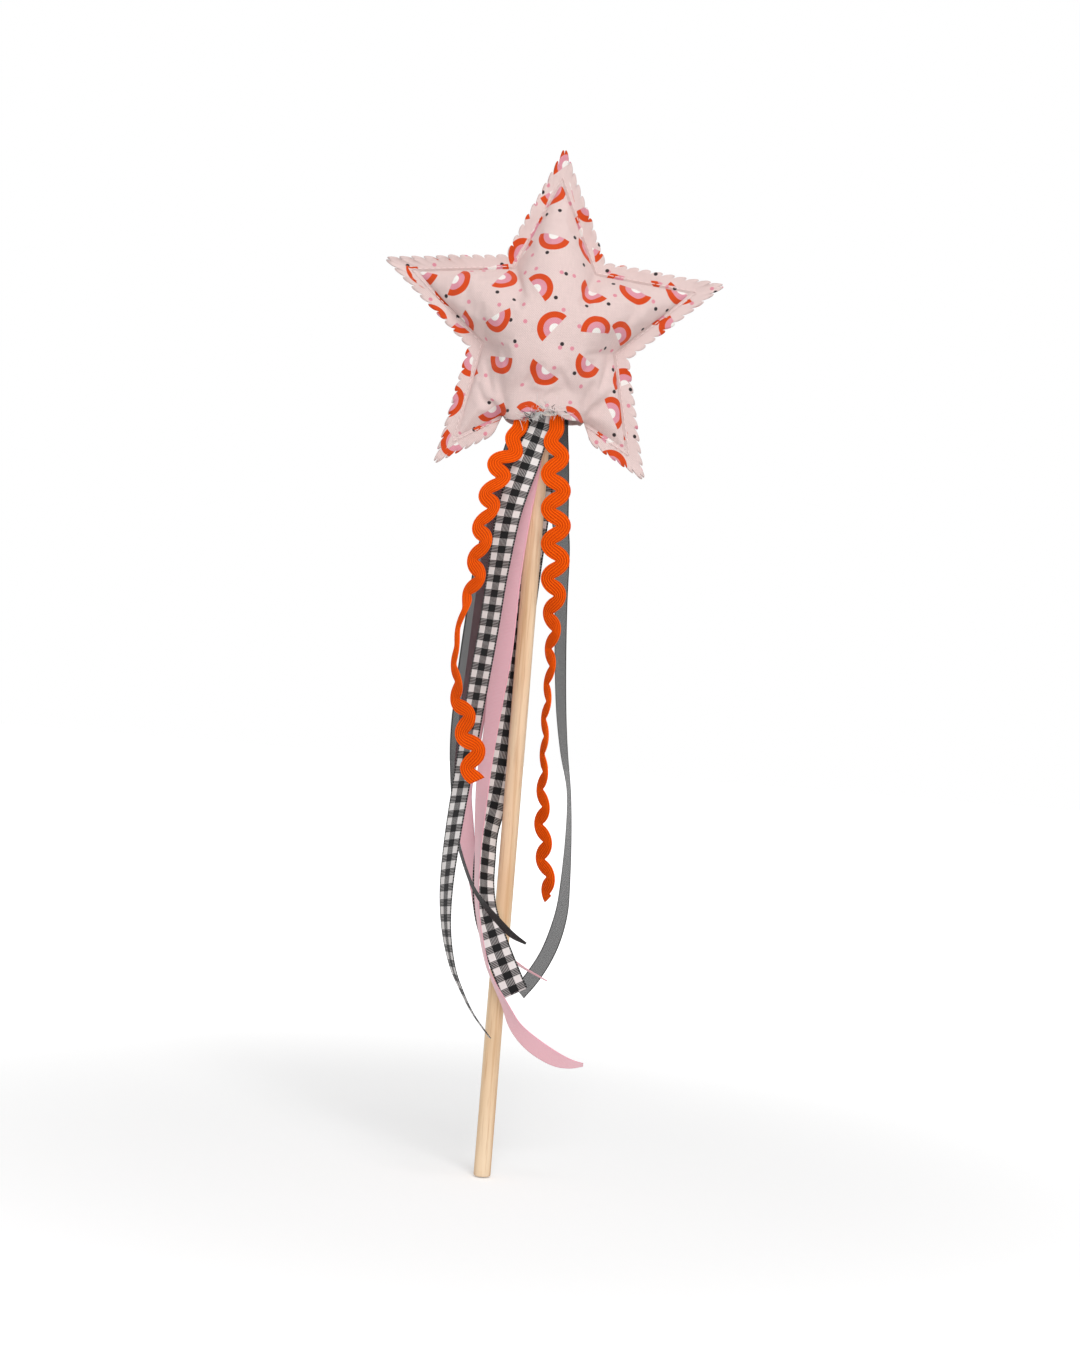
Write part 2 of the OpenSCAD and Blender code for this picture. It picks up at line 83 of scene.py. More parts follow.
# Ribbon routes from the hinge down: x, y, drop below the hinge, turn in degrees, share of the width
GINGHAM_FRONT = [
    [-0.5, -6, 0, 0, 0.8], [-4.5, -7.8, 14, 6, 1], [-9.5, -12.4, 34, 20, 1], [-11.8, -14.8, 56, 38, 1],
    [-13.6, -15.4, 78, 41, 1], [-15.8, -15.8, 100, 42, 1], [-18.4, -18.2, 130, 48, 1],
    [-20.4, -24, 154, 53, 1], [-21, -29, 173, 60, 1], [-19.8, -31, 188, 68, 1], [-16.6, -31.5, 201, 75, 1],
    [-12.4, -31.5, 210, 80, 1], [-7.6, -31.5, 218, 82, 1], [-1, -31.5, 226, 82, 1],
]
GINGHAM_REAR = [
    [1, 4.5, 0, 0, 0.8], [0.8, 4.5, 15, 0, 1], [0.5, 4.5, 30, 0, 1], [-0.8, 4.5, 50, 0, 1],
    [-2.2, 4.5, 75, 0, 1], [-3.4, 4.5, 105, 0, 1], [-5, 4.7, 128, -6, 1], [-6.6, 4.2, 143, -26, 1],
    [-8.2, 1.4, 154, -38, 1], [-8.4, -1.8, 164, -37, 1], [-8, -5, 174, -37, 1], [-6.4, -7.4, 183, -32, 1],
    [-3, -8, 192, -22, 1], [0.6, -8, 200, -14, 1], [4.6, -8, 208, -8, 1], [7, -8, 212.5, -6, 1],
]
PINK_FRONT = [
    [-2.8, -4.1, 0, 0, 0.6], [-3.6, -4.3, 14, 4, 0.85], [-6.4, -3.2, 38, 24, 1], [-7.9, -2.4, 60, 28, 1],
    [-8.5, -2.2, 85, 32, 1], [-9.4, -2.4, 104, 34, 0.78], [-10.2, -2.8, 118, 36, 0.64],
    [-11.3, -3.6, 132, 42, 0.68], [-11.3, -7, 147, 60, 0.8], [-10.8, -12, 164, 74, 0.8],
    [-9.6, -15.4, 181, 78, 0.8], [-5.2, -16.5, 199, 80, 0.8], [-1.8, -16.5, 207, 79, 0.8],
    [3.6, -16.5, 216, 68, 0.8], [8, -16.5, 223.5, 56, 0.9], [14.7, -16.5, 229.5, 46, 0.95],
    [23, -16.5, 234, 46, 0.9], [29, -16.5, 235.5, 52, 0.7], [34, -16.5, 235.5, 58, 0.3],
]
PINK_REAR = [
    [-7.2, 5.6, 0, 0, 0.6], [-8.8, 6.4, 12, 0, 0.85], [-11.6, 7.6, 28, 8, 1], [-14, 8, 48, 10, 1],
    [-15.4, 8.4, 70, 10, 1], [-16.4, 8.8, 90, 10, 1], [-17.6, 9, 110, 10, 1], [-18.6, 9, 127, 12, 0.88],
    [-18.9, 9, 140, 24, 0.75], [-17.2, 9, 152, 28, 0.75], [-14.2, 9, 165, 44, 0.65],
    [-11.4, 9, 176, 50, 0.6], [-8, 9, 188, 52, 0.6], [-1, 9, 198, 60, 0.6], [8, 9, 204, 74, 0.5],
    [18.6, 9, 209, 78, 0.3],
]
SHEER_LEFT = [
    [-7.6, -5, 0, 0, 0.6], [-9.6, -5.9, 12, 4, 0.85], [-13, -9.4, 34, 12, 1], [-16.4, -9.4, 56, 14, 1],
    [-18.2, -9.6, 78, 16, 1], [-19.4, -9.9, 96, 20, 1], [-20.4, -10.4, 116, 28, 1],
    [-20.9, -11.2, 130, 40, 0.8], [-20.6, -14.8, 145, 60, 0.5], [-18.6, -17.6, 157, 70, 0.4],
    [-12.8, -20.6, 171, 70, 0.4], [-7.8, -22.4, 178, 60, 0.4], [-1.9, -23.4, 184, 50, 0.4],
    [3.8, -23.6, 189, 50, 0.4], [9.4, -23.6, 192, 50, 0.15],
]
SHEER_RIGHT = [
    [6.7, 5.7, 0, 0, 0.6], [7.2, 5.9, 12, 20, 0.8], [9.2, 7, 33, 50, 1], [11.3, 7.6, 47, 58, 1],
    [12.4, 8, 68, 62, 1], [13.8, 8, 88, 65, 1], [15.6, 8, 106, 68, 1], [18, 8, 122, 74, 1],
    [21, 8, 137, 82, 1], [22.2, 8.6, 153, 78, 1], [22.5, 10, 171, 70, 1], [22.2, 13, 182, 64, 1],
    [20.4, 16, 192, 60, 1], [17.4, 17.5, 201, 60, 1], [13.1, 17.5, 209, 60, 1], [8.5, 17.5, 215.5, 62, 1],
]
RICKRACK_LEFT = [
    [-8, -7.8, 0, 0, 0.5], [-9.6, -9, 8, 4, 0.8], [-14, -14, 18, 20, 1], [-17, -20, 32, 38, 1],
    [-18.8, -23.8, 47, 44, 1], [-20.4, -25, 64, 52, 1], [-23.6, -25, 74, 72, 0.75],
    [-24.8, -25, 86, 74, 0.75], [-23.8, -25, 98, 66, 0.9], [-20.8, -25.4, 108, 44, 1],
    [-17.2, -26.4, 119, 30, 1], [-14.8, -26.8, 127, 26, 1], [-14.4, -26.8, 134, 24, 1],
]
RICKRACK_RIGHT = [
    [5.2, -7.4, 0, 0, 0.5], [5.5, -9, 10, 0, 0.9], [7, -11, 26, 6, 1], [8.6, -11.4, 47, 14, 1],
    [9.2, -11.8, 62, 34, 1], [9.9, -11.8, 78, 60, 1], [10, -12, 92, 72, 1], [9.8, -12, 108, 76, 1],
    [10.6, -12, 126, 76, 1], [11.2, -12, 138, 66, 1], [12.2, -12, 150, 58, 1], [13.8, -12, 162, 56, 1],
    [15.4, -12, 170, 60, 1], [17, -12, 176, 62, 1],
]

scene = bpy.context.scene
scene.view_settings.view_transform = "Standard"


# General helpers
def shown(red, green, blue):
    """A colour as a screen shows it, 0 to 255, in the values that a shader takes."""
    parts = [c / 255 for c in (red, green, blue)]
    return tuple(c / 12.92 if c <= 0.04045 else ((c + 0.055) / 1.055) ** 2.4 for c in parts) + (1.0,)


def smooth(low, high, value):
    t = np.clip((np.asarray(value, float) - low) / (high - low), 0, 1)
    return t * t * (3 - 2 * t)


def unit(v):
    return v / np.maximum(np.linalg.norm(v, axis=-1, keepdims=True), 1e-9)


def ripple(points, size, seed):
    """Smooth noise from about -1 to 1 at each point, with features of that size."""
    shift = Vector((seed * 7.31, seed * 3.17, seed * 5.73))
    return np.array([noise.noise(Vector(p) / size + shift) for p in points]) * 1.6


def put(name, data):
    """A new object in the scene."""
    obj = bpy.data.objects.new(name, data)
    scene.collection.objects.link(obj)
    return obj


def new_piece(name, points, faces, materials, attributes=None):
    """A smooth mesh object from points in millimetres, with vector attributes at its points."""
    mesh = bpy.data.meshes.new(name)
    mesh.from_pydata([tuple(p) for p in np.asarray(points) * MM], [], [tuple(map(int, f)) for f in faces])
    for key, values in (attributes or {}).items():
        layer = mesh.attributes.new(key, "FLOAT_VECTOR", "POINT")
        layer.data.foreach_set("vector", np.asarray(values, np.float32).ravel())
    mesh.polygons.foreach_set("use_smooth", [True] * len(mesh.polygons))
    for material in materials:
        mesh.materials.append(material)
    mesh.update()
    obj = put(name, mesh)
    return obj


def thicken(obj, thick, offset):
    shell = obj.modifiers.new("cloth", "SOLIDIFY")
    shell.thickness = thick * MM
    shell.offset = offset


def subdivide(obj, kind, levels):
    finer = obj.modifiers.new("finer", "SUBSURF")
    finer.subdivision_type = kind
    finer.levels = levels
    finer.render_levels = levels


def settle(obj):
    """Applies an object's modifiers to its mesh."""
    bpy.context.view_layer.update()
    depsgraph = bpy.context.evaluated_depsgraph_get()
    mesh = bpy.data.meshes.new_from_object(obj.evaluated_get(depsgraph))
    obj.modifiers.clear()
    obj.data = mesh


def joined(obj, other):
    with bpy.context.temp_override(active_object=obj, object=obj, selected_editable_objects=[obj, other]):
        bpy.ops.object.join()
    return obj


def ring_faces(start, rings, sides, inward=False):
    """Faces between the rings of a tube whose points start at that number."""
    faces = []
    for ring in range(rings - 1):
        low = start + ring * sides
        for corner in range(sides):
            nxt = (corner + 1) % sides
            if inward:
                faces.append((low + corner, low + sides + corner, low + sides + nxt, low + nxt))
            else:
                faces.append((low + corner, low + nxt, low + sides + nxt, low + sides + corner))
    return faces


def grid_faces(rows, columns):
    return [
        (r * columns + c, r * columns + c + 1, (r + 1) * columns + c + 1, (r + 1) * columns + c)
        for r in range(rows - 1)
        for c in range(columns - 1)
    ]


# Shader helpers
class Shader:
    """One material's nodes, with short ways to add and link them."""

    def __init__(self, name):
        self.material = bpy.data.materials.new(name)
        self.material.use_nodes = True
        self.nodes = self.material.node_tree.nodes
        self.links = self.material.node_tree.links
        self.surface = self.nodes["Principled BSDF"]

    def feed(self, socket, value):
        if isinstance(value, bpy.types.NodeSocket):
            self.links.new(value, socket)
        else:
            socket.default_value = value

    def set(self, **values):
        for name, value in values.items():
            self.feed(self.surface.inputs[name.replace("_", " ")], value)

    def add(self, kind, *values, **named):
        """A node with its inputs set or linked, in their order or by name."""
        node = self.nodes.new("ShaderNode" + kind)
        for socket, value in zip(node.inputs, values):
            self.feed(socket, value)
        for name, value in named.items():
            self.feed(node.inputs[name], value)
        return node

    def math(self, operation, a, b=0.0, c=0.0):
        node = self.add("Math", a, b, c)
        node.operation = operation
        return node.outputs[0]

    def times(self, a, b):
        return self.math("MULTIPLY", a, b)

    def plus(self, a, b):
        return self.math("ADD", a, b)

    def vector(self, operation, a, b=(0.0, 0.0, 0.0), scale=1.0):
        node = self.add("VectorMath", a, b, (0.0, 0.0, 0.0), scale)
        node.operation = operation
        return node.outputs[0]

    def reach(self, x, y):
        """Distance from the middle."""
        return self.math("SQRT", self.plus(self.times(x, x), self.times(y, y)))

    def ease(self, value, low, high, start=0.0, end=1.0):
        """From start to end, smoothly, while the value goes from low to high."""
        node = self.add("MapRange", value, low, high, start, end)
        node.interpolation_type = "SMOOTHSTEP"
        return node.outputs[0]

    def mix(self, factor, a, b):
        node = self.nodes.new("ShaderNodeMix")
        node.data_type = "RGBA"
        self.feed(node.inputs[0], factor)
        self.feed(node.inputs[6], a)
        self.feed(node.inputs[7], b)
        return node.outputs[2]

    def place(self, attribute=None, scale=None, shift=(0, 0, 0)):
        """Object coordinates, or a named attribute of the mesh, in millimetres."""
        scale = scale or ((1, 1, 1) if attribute else (1000, 1000, 1000))
        if attribute:
            node = self.add("Attribute")
            node.attribute_name = attribute
            source = node.outputs["Vector"]
        else:
            source = self.add("TexCoord").outputs["Object"]
        return self.add("Mapping", source, Location=shift, Scale=scale).outputs[0]

    def parts(self, vector):
        return self.add("SeparateXYZ", vector).outputs

    def noise(self, vector, scale, detail=2.0, rough=0.5):
        return self.add("TexNoise", vector, Scale=scale, Detail=detail, Roughness=rough).outputs["Fac"]

    def wave(self, value, length):
        """From 0 to 1 and back over each length."""
        angle = self.times(value, math.tau / length)
        return self.math("MULTIPLY_ADD", self.math("SINE", angle), 0.5, 0.5)

    def cells(self, vector, size, scatter):
        """A lattice of cells of that size, each with a place, a random colour and a distance."""
        node = self.add("TexVoronoi", vector, Scale=1 / size, Randomness=scatter)
        node.voronoi_dimensions = "2D"
        return node.outputs

    def bump(self, height, depth, strength=1.0):
        """depth in millimetres for a height of 1."""
        node = self.add("Bump", Strength=strength, Distance=depth * MM, Height=height)
        self.set(Normal=node.outputs[0])

    def weave(self, vector, thread):
        """Height of a plain weave: over and under threads of that width."""
        x, y = self.parts(vector)[:2]
        over = self.times(self.wave(x, thread * 2), self.wave(y, thread * 2))
        under_x = self.math("SUBTRACT", 1.0, self.wave(x, thread * 2))
        under_y = self.math("SUBTRACT", 1.0, self.wave(y, thread * 2))
        return self.math("MAXIMUM", over, self.times(under_x, under_y))


def half_disc_print(shader, flat, size, shift):
    """Tossed banded half discs: 1 in the outer band, the middle band and the inner half disc."""
    blur = 0.006
    place = shader.vector("ADD", flat, shift)
    cells = shader.cells(place, size, 0.3)
    away = shader.vector("SUBTRACT", place, cells["Position"])
    local = shader.vector("SCALE", away, scale=1 / size)
    chance = shader.parts(cells["Color"])
    turned = shader.add("VectorRotate", local, Angle=shader.times(chance[0], math.tau))
    turned.rotation_type = "Z_AXIS"
    x, y = shader.parts(turned.outputs[0])[:2]
    y = shader.plus(y, 0.16)
    reach = shader.reach(x, y)
    above = shader.ease(y, -blur, blur)
    bands = []
    for inner, outer in ((0.235, 0.37), (0.11, 0.235), (-1.0, 0.11)):
        past_inner = shader.ease(reach, inner - blur, inner + blur)
        short_of_outer = shader.ease(reach, outer + blur, outer - blur)
        ring = shader.times(past_inner, short_of_outer)
        bands.append(shader.times(ring, above))
    return bands


def scattered_dots(shader, flat, size, radius, kept):
    """Small dots, in a share of the cells of a scattered lattice."""
    blur = 0.12
    cells = shader.cells(flat, size, 0.9)
    near = shader.ease(cells["Distance"], (radius + blur) / size, (radius - blur) / size)
    chosen = shader.math("LESS_THAN", shader.parts(cells["Color"])[1], kept)
    return shader.times(near, chosen)


# Materials
def printed_cotton(name, shift):
    shader = Shader(name)
    flat = shader.place("flat")
    outer, middle, inner = half_disc_print(shader, flat, PRINT_SIZE, shift)
    dark_dots = scattered_dots(shader, flat, 9.0, 0.75, 0.4)
    pink_dots = scattered_dots(shader, shader.place("flat", shift=(31, 17, 0)), 7.5, 0.8, 0.4)
    motif = shader.math("MAXIMUM", outer, shader.math("MAXIMUM", middle, inner))
    ground = shader.math("SUBTRACT", 1.0, motif)
    colour = shader.mix(shader.noise(flat, 0.05), shown(222, 198, 194), shown(233, 209, 205))
    colour = shader.mix(shader.times(pink_dots, ground), colour, shown(224, 145, 159))
    colour = shader.mix(shader.times(dark_dots, ground), colour, shown(48, 40, 42))
    colour = shader.mix(outer, colour, shown(214, 70, 10))
    colour = shader.mix(middle, colour, shown(223, 149, 164))
    colour = shader.mix(inner, colour, shown(245, 240, 235))
    threads = shader.weave(flat, 0.45)
    slubs = shader.noise(shader.place("flat", (0.25, 2.4, 1)), 1.0, 3.0)
    slubs_up = shader.noise(shader.place("flat", (2.4, 0.25, 1)), 1.0, 3.0)
    # Painted shade: the weave's low points between the threads are a tenth darker. The slubs below vary the
    # tone at random.
    weave_painted_shade = shader.math("MULTIPLY_ADD", threads, 0.1, 0.9)
    slub_shade = shader.math("MULTIPLY_ADD", shader.plus(slubs, slubs_up), 0.16, 0.84)
    tone = shader.vector("SCALE", colour, scale=shader.times(weave_painted_shade, slub_shade))
    shader.set(Base_Color=tone, Roughness=0.88, Specular_IOR_Level=0.25)
    shader.set(Sheen_Weight=0.12, Sheen_Roughness=0.6)
    shader.bump(shader.plus(threads, shader.times(slubs, 0.8)), 0.09)
    return shader.material


def birch():
    shader = Shader("birch_dowel")
    long_grain = shader.noise(shader.place(None, (420, 420, 9)), 1.0, 4.0, 0.6)
    fine_grain = shader.noise(shader.place(None, (1900, 1900, 60)), 1.0, 3.0, 0.6)
    bands = shader.noise(shader.place(None, (120, 120, 14)), 1.0, 2.0)
    colour = shader.mix(shader.ease(bands, 0.3, 0.7), shown(232, 197, 158), shown(247, 220, 186))
    colour = shader.mix(shader.ease(long_grain, 0.5, 0.68, 0.0, 0.5), colour, shown(200, 150, 102))
    colour = shader.mix(shader.ease(fine_grain, 0.54, 0.72, 0.0, 0.4), colour, shown(184, 130, 84))
    shader.set(Base_Color=colour, Roughness=shader.ease(long_grain, 0.2, 0.8, 0.5, 0.68))
    shader.set(Specular_IOR_Level=0.35)
    shader.bump(shader.plus(fine_grain, shader.times(long_grain, 0.6)), 0.12, 0.7)
    return shader.material


def gingham():
    """Black and white checks: dark warp in the middle third, dark weft in every other row."""
    shader = Shader("gingham_ribbon")
    strip = shader.place("strip")
    across, along = shader.parts(strip)[:2]
    side = shader.math("ABSOLUTE", across)
    warp = shader.ease(side, 1.72, 1.6)
    weft = shader.ease(shader.wave(along, 5.5), 0.44, 0.56)
    both = shader.times(warp, weft)
    upright = shader.ease(shader.wave(across, 0.55), 0.12, 0.36, 0.3, 1.0)
    level = shader.ease(shader.wave(along, 0.55), 0.12, 0.36, 0.3, 1.0)
    warp_only = shader.times(shader.math("SUBTRACT", warp, both), upright)
    weft_only = shader.times(shader.math("SUBTRACT", weft, both), level)
    dark = shader.plus(both, shader.plus(warp_only, weft_only))
    edge = shader.ease(side, 4.3, 4.42)
    picot = shader.ease(shader.wave(along, 1.1), 0.2, 0.5, 0.75, 1.0)
    dark = shader.math("MAXIMUM", dark, shader.times(edge, picot))
    tint = shader.noise(strip, 0.6, 3.0)
    white = shader.mix(tint, shown(224, 219, 217), shown(238, 234, 232))
    colour = shader.mix(dark, white, shown(14, 14, 16))
    shader.set(Base_Color=colour, Roughness=0.66, Sheen_Weight=0.03, Specular_IOR_Level=0.2)
    shader.bump(shader.weave(strip, 0.28), 0.06)
    return shader.material


def pink_ribbon():
    shader = Shader("pink_ribbon")
    strip = shader.place("strip")
    across, along = shader.parts(strip)[:2]
    ribs = shader.wave(along, 0.5)
    streaks = shader.noise(shader.place("strip", (0.5, 3.5, 1)), 1.0, 3.0)
    edge = shader.ease(shader.math("ABSOLUTE", across), 4.35, 4.6)
    colour = shader.mix(streaks, shown(255, 190, 202), shown(255, 208, 216))
    colour = shader.mix(shader.times(ribs, 0.16), colour, shown(242, 160, 178))
    colour = shader.mix(shader.times(edge, 0.5), colour, shown(244, 168, 188))
    shader.set(Base_Color=colour, Roughness=0.42, Sheen_Weight=0.15, Specular_IOR_Level=0.45)
    shader.bump(shader.plus(ribs, shader.times(streaks, 0.6)), 0.05)
    return shader.material


def sheer_ribbon():
    """Thin black cloth that lets some of what lies behind it through, less where it is gathered."""
    shader = Shader("sheer_ribbon")
    strip = shader.place("strip")
    threads = shader.weave(strip, 0.35)
    cloud = shader.noise(strip, 0.35, 3.0)
    colour = shader.mix(cloud, shown(22, 21, 22), shown(36, 34, 35))
    open_share = shader.math("MULTIPLY_ADD", threads, -0.24, 0.46)
    layers = shader.math("DIVIDE", 1.0, shader.math("MAXIMUM", shader.parts(strip)[2], 0.1))
    alpha = shader.math("SUBTRACT", 1.0, shader.math("POWER", open_share, layers))
    shader.set(Base_Color=colour, Alpha=alpha, Roughness=0.5, Sheen_Weight=0.06, Specular_IOR_Level=0.3)
    shader.bump(threads, 0.04)
    return shader.material


def sheer_edge():
    shader = Shader("sheer_selvedge")
    strip = shader.place("strip")
    ribs = shader.wave(shader.parts(strip)[1], 0.5)
    # Painted shade: the selvedge is darker between its ribs and lighter on their raised tops.
    colour = shader.mix(ribs, shown(16, 15, 17), shown(38, 36, 38))
    shader.set(Base_Color=colour, Roughness=0.5, Specular_IOR_Level=0.4)
    shader.bump(ribs, 0.06)
    return shader.material


def rickrack():
    """Braided band: ridges along the wave, crossed by a fine slanted braid, with painted shade in the
    grooves between the ridges.
    """
    shader = Shader("orange_rickrack")
    strip = shader.place("strip")
    across, along = shader.parts(strip)[:2]
    ridges = shader.wave(across, RICKRACK_BAND / RICKRACK_RIDGES)
    slant = shader.plus(shader.math("ABSOLUTE", across), shader.times(along, 0.8))
    braid = shader.wave(slant, 0.62)
    fuzz = shader.noise(strip, 1.4, 4.0, 0.65)
    colour = shader.mix(fuzz, shown(248, 84, 0), shown(255, 104, 3))
    crossed = shader.ease(braid, 0.0, 0.8, 0.45, 1.0)
    # Painted shade: the low grooves between the ridges are darkened, more where the braid crosses them.
    painted_groove_shade = shader.times(shader.ease(ridges, 0.42, 0.02), crossed)
    colour = shader.mix(shader.times(painted_groove_shade, 0.8), colour, shown(178, 44, 2))
    shader.set(Base_Color=colour, Roughness=0.8, Specular_IOR_Level=0.1)
    shader.bump(shader.plus(ridges, shader.times(braid, 0.4)), 0.22)
    return shader.material


def thread():
    shader = Shader("sewing_thread")
    strip = shader.place("strip")
    across, along = shader.parts(strip)[:2]
    twist = shader.wave(shader.plus(across, along), 0.5)
    # Painted shade: the thread is darker in the low part of each twist and lighter on its raised part.
    colour = shader.mix(twist, shown(238, 212, 209), shown(250, 232, 229))
    shader.set(Base_Color=colour, Roughness=0.6, Sheen_Weight=0.1)
    shader.bump(twist, 0.05)
    return shader.material


def dark_yarn():
    shader = Shader("gingham_yarn")
    shade = shader.noise(shader.place(), 1.2, 3.0)
    shader.set(Base_Color=shader.mix(shade, shown(22, 20, 22), shown(44, 40, 42)), Roughness=0.8)
    return shader.material


def fibrefill():
    shader = Shader("fibrefill")
    where = shader.place()
    strands = shader.noise(where, 0.9, 6.0, 0.75)
    clumps = shader.noise(where, 0.25, 3.0)
    colour = shader.mix(clumps, shown(236, 234, 230), shown(252, 251, 249))
    shader.set(Base_Color=colour, Roughness=0.95, Sheen_Weight=0.3, Specular_IOR_Level=0.1)
    shader.bump(strands, 0.7)
    return shader.material


def hot_glue():
    shader = Shader("hot_glue")
    where = shader.place()
    cloud = shader.noise(where, 0.35, 3.0)
    colour = shader.mix(cloud, shown(226, 218, 205), shown(244, 240, 232))
    shader.set(Base_Color=colour, Roughness=shader.ease(cloud, 0.2, 0.8, 0.28, 0.5))
    shader.set(Subsurface_Weight=0.35, Subsurface_Scale=0.002, Subsurface_Radius=(1.0, 0.75, 0.5))
    shader.bump(cloud, 0.5)
    return shader.material


# Star outline: corners from the top point anticlockwise, the bottom notch cut off by the mouth
def star_edge_r():
    turn = math.radians(36)
    edge = math.sqrt(POINT_R**2 + NOTCH_R**2 - 2 * POINT_R * NOTCH_R * math.cos(turn))
    return POINT_R * NOTCH_R * math.sin(turn) / edge


SEAM_SHARE = (star_edge_r() - SEAM_INSET) / star_edge_r()


def star_corner(index, share):
    reach = (POINT_R if index % 2 == 0 else NOTCH_R) * share
    angle = math.radians(90 + 36 * index)
    return np.array([reach * math.cos(angle), reach * math.sin(angle)])


def seam_corners():
    corners = [star_corner(i, SEAM_SHARE) for i in range(10)]
    slope = (corners[4][1] - corners[5][1]) / (corners[4][0] - corners[5][0])
    mouth_z = corners[5][1] - slope * MOUTH_X
    ends = [np.array([-MOUTH_X, mouth_z]), np.array([MOUTH_X, mouth_z])]
    return corners[:5] + ends + corners[6:]


def cut_corners():
    """The same corners on the flat cloth, before stuffing draws the notches in."""
    mouth_x, mouth_z = 17.5, -38.6
    point_share, notch_share = 1.09, 1.32
    flat = []
    for index, corner in enumerate(seam_corners()):
        if index in (5, 6):
            flat.append(np.array([math.copysign(mouth_x, corner[0]), mouth_z]))
        else:
            star_index = index if index < 5 else index - 1
            flat.append(corner * (point_share if star_index % 2 == 0 else notch_share))
    return flat


def sampled(corners, counts):
    points = []
    for index, count in enumerate(counts):
        a, b = corners[index], corners[(index + 1) % len(corners)]
        points += [a + (b - a) * k / count for k in range(count)]
    return np.array(points)


def inside_distance(points, outline):
    """Distance to the outline, negative outside."""
    a = outline
    b = np.roll(outline, -1, 0)
    edge = b - a
    away = points[:, None, :] - a[None]
    t = np.clip((away * edge).sum(2) / (edge * edge).sum(1), 0, 1)
    distance = np.linalg.norm(away - t[..., None] * edge, axis=2).min(1)
    spans = (a[:, 1] > points[:, None, 1]) != (b[:, 1] > points[:, None, 1])
    rise = np.where(np.abs(edge[:, 1]) < 1e-9, 1e-9, edge[:, 1])
    left = points[:, None, 0] < edge[:, 0] * (points[:, None, 1] - a[:, 1]) / rise + a[:, 0]
    return np.where((spans & left).sum(1) % 2 == 1, distance, -distance)


def mouth_depth(x):
    return MOUTH_HALF_D * np.maximum(1 - np.abs(x / MOUTH_HALF_W) ** 3, 0) ** (1 / 3)


def lip_height(x):
    """The raw lip sags at its left and rises in the middle."""
    torn = 0.35 * np.sin(x * 2.9) + 0.25 * np.sin(x * 6.7 + 1)
    rise = 3.4 * np.exp(-(((x - 2) / 5.5) ** 2))
    sag = 1.2 * np.exp(-(((x + 9.5) / 4) ** 2))
    return LIP + 0.4 + rise - sag + torn


# Star body: two flat panels sewn together and stuffed
CLOTH_GRID = 2.0
SEAM_STEP = 1.7
STUFFING_SCALE = 0.01
SEWN_FRAME = 24
STUFFED_FRAME = 46
corner_final = seam_corners()
corner_flat = cut_corners()
corner_count = len(corner_final)
side_counts = [
    max(4, round(np.linalg.norm(corner_final[(i + 1) % corner_count] - corner_final[i]) / SEAM_STEP))
    for i in range(corner_count)
]
outline_flat = sampled(corner_flat, side_counts)
outline_final = sampled(corner_final, side_counts)
outline_count = len(outline_flat)
mouth_first = sum(side_counts[:5])
mouth_inner = range(mouth_first + 1, mouth_first + side_counts[5])


def cloth_points():
    low, high = outline_flat.min(0), outline_flat.max(0)
    rows = np.arange(low[1], high[1], CLOTH_GRID * math.sqrt(3) / 2)
    columns = np.arange(low[0], high[0], CLOTH_GRID)
    grid = np.array([(x + (k % 2) * CLOTH_GRID / 2, z) for k, z in enumerate(rows) for x in columns])
    inner = grid[inside_distance(grid, outline_flat) > 0.65 * CLOTH_GRID]
    points = np.vstack([outline_flat, inner])
    edges = [(i, (i + 1) % outline_count) for i in range(outline_count)]
    _, _, triangles, origin, _, _ = delaunay_2d_cdt([Vector(p) for p in points], edges, [], 1, 1e-4)
    order = [o[0] for o in origin]
    turned = []
    for triangle in triangles:
        a, b, c = (points[order[i]] for i in triangle)
        left = (b[0] - a[0]) * (c[1] - a[1]) - (b[1] - a[1]) * (c[0] - a[0]) > 0
        turned.append([order[i] for i in (triangle if left else triangle[::-1])])
    return points, turned


def star_targets():
    """Where the sewn outline goes, front and back: on the seam, with the mouth held open."""
    front = np.column_stack([outline_final[:, 0], np.zeros(outline_count), outline_final[:, 1]])
    back = front.copy()
    x = MOUTH_X * np.linspace(-1, 1, 201)
    curve = np.column_stack([x, mouth_depth(x)])
    run = np.concatenate([[0], np.cumsum(np.linalg.norm(np.diff(curve, axis=0), axis=1))])
    for index in mouth_inner:
        share = (index - mouth_first) / side_counts[5]
        at = np.interp(share * run[-1], run, x)
        depth = float(mouth_depth(at))
        front[index] = (at, -depth, lip_height(at))
        back[index] = (at, depth, lip_height(at))
    return front, back


def pillow(points):
    """The stuffed form without the simulation: the cloth's height over its flat place."""
    distance = np.maximum(inside_distance(points, outline_flat), 0)
    distance[:outline_count] = 0
    return CROWN * (distance / distance.max()) ** 0.75


